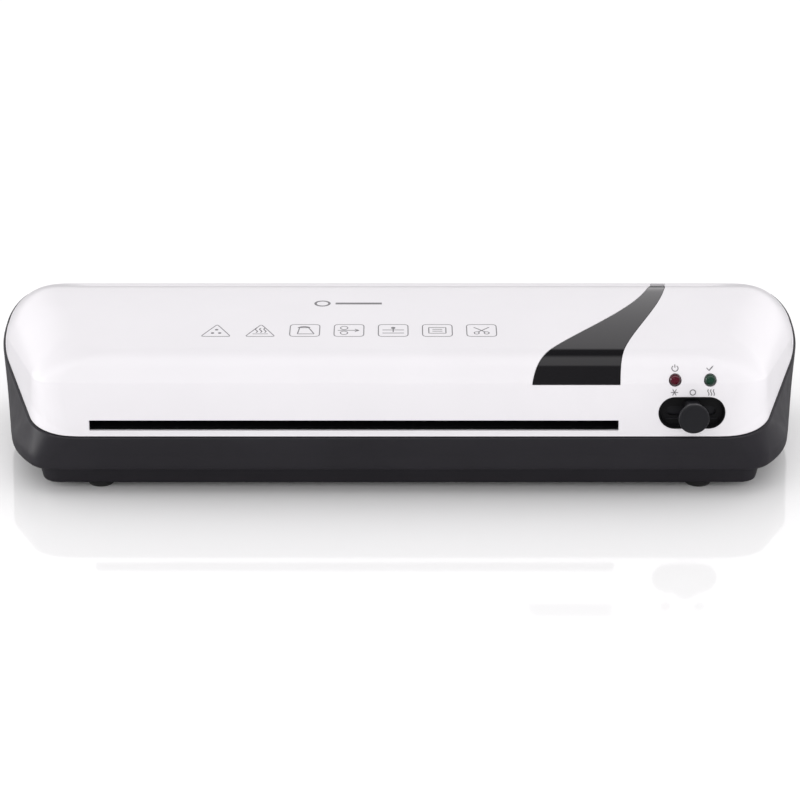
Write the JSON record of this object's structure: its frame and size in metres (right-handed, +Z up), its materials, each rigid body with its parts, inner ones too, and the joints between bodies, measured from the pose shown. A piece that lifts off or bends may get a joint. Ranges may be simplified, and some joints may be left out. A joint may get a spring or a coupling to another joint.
{
  "type": "pouch laminator",
  "caption": "Desktop pouch laminator with a front entry slot, a rear exit slot, heated plates, a geared roller pair, a sliding mode knob and signal lamps.",
  "frame": {"origin": "on the table, in the middle of the footprint's bounding box, knob included", "axes": "+X along the slot towards the mode knob, +Y from the entry slot to the exit slot, +Z up"},
  "size_m": [0.374, 0.14, 0.0712],
  "materials": {
    "cover_white": "satin gloss",
    "case_black": "satin",
    "accent_gloss": "high gloss, dark smoke",
    "feet_rubber": "matte",
    "steel_zinc": "zinc-plated",
    "steel_dark": "blackened",
    "guide_black": "fine grain, heat-resistant",
    "aluminium": "mill finish",
    "mica": "mica sheet",
    "phenolic": "moulded phenolic",
    "ceramic": "glazed",
    "silicone_red": "matte silicone",
    "gear_nylon": "moulded nylon",
    "bearing_brown": "filled nylon",
    "spring_steel": "bright",
    "board_green": "solder mask",
    "part_black": "epoxy",
    "knob_black": "satin",
    "lamp_red": "clear tinted",
    "lamp_green": "clear tinted",
    "wire_red": "insulation"
  },
  "bodies": {
    "case": {"top_cover": "cover_white", "bottom_case": "case_black", "accent_inlay": "accent_gloss", "rubber_feet": "feet_rubber", "case_screws": "steel_zinc", "entry_guide": "guide_black", "exit_guide": "guide_black", "left_side_plate": "steel_zinc", "right_side_plate": "steel_zinc", "plate_screws": "steel_zinc", "upper_heater_plate": "aluminium", "lower_heater_plate": "aluminium", "heater_elements": "mica", "heater_clips": "spring_steel", "heater_supports": "phenolic", "upper_heat_shield": "aluminium", "lower_heat_shield": "aluminium", "thermostat": "phenolic", "thermal_fuse": "ceramic", "roller_bushes": "bearing_brown", "pressure_springs": "spring_steel", "spring_caps": "steel_zinc", "drive_motor": "steel_zinc", "motor_standoffs": "steel_zinc", "motor_screws": "steel_zinc", "control_board": "board_green", "board_parts": "part_black", "board_screws": "steel_zinc", "slide_switch": "steel_dark", "switch_bezel": "knob_black", "power_lamp": "lamp_red", "ready_lamp": "lamp_green", "lamp_leads": "steel_zinc", "mains_inlet": "guide_black", "inlet_pins": "steel_zinc", "wire_harness": "wire_red"},
    "knob": {"switch_knob": "knob_black"},
    "lower_roller": {"lower_roller_core": "steel_zinc", "lower_roller_sleeve": "silicone_red", "lower_retaining_ring": "steel_dark", "lower_roller_gear": "gear_nylon"},
    "bearing_carriage": {"bearing_blocks": "bearing_brown"},
    "upper_roller": {"upper_roller_core": "steel_zinc", "upper_roller_sleeve": "silicone_red", "upper_retaining_ring": "steel_dark", "upper_roller_gear": "gear_nylon"},
    "motor_rotor": {"motor_pinion": "gear_nylon", "motor_shaft": "steel_zinc"}
  },
  "joints": [
    {"name": "knob_slide", "type": "slide", "parent": "case", "child": "knob", "axis": [1, 0, 0], "range_m": [-0.0075, 0.0075]},
    {"name": "lower_roller_spin", "type": "hinge", "parent": "case", "child": "lower_roller", "pos_m": [0, 0.013, 0.02295], "axis": [1, 0, 0], "continuous": true},
    {"name": "nip_lift", "type": "slide", "parent": "case", "child": "bearing_carriage", "axis": [0, 0, 1], "range_m": [0, 0.001], "deforming": ["pressure_springs"]},
    {"name": "upper_roller_spin", "type": "hinge", "parent": "bearing_carriage", "child": "upper_roller", "pos_m": [0, 0.013, 0.04505], "axis": [1, 0, 0], "continuous": true},
    {"name": "motor_spin", "type": "hinge", "parent": "case", "child": "motor_rotor", "pos_m": [0, 0.03308, 0.02295], "axis": [1, 0, 0], "continuous": true}
  ],
  "couplings": [
    {"joint": "upper_roller_spin", "follows": "lower_roller_spin", "ratio": -1},
    {"joint": "motor_spin", "follows": "lower_roller_spin", "ratio": -1.2222}
  ]
}
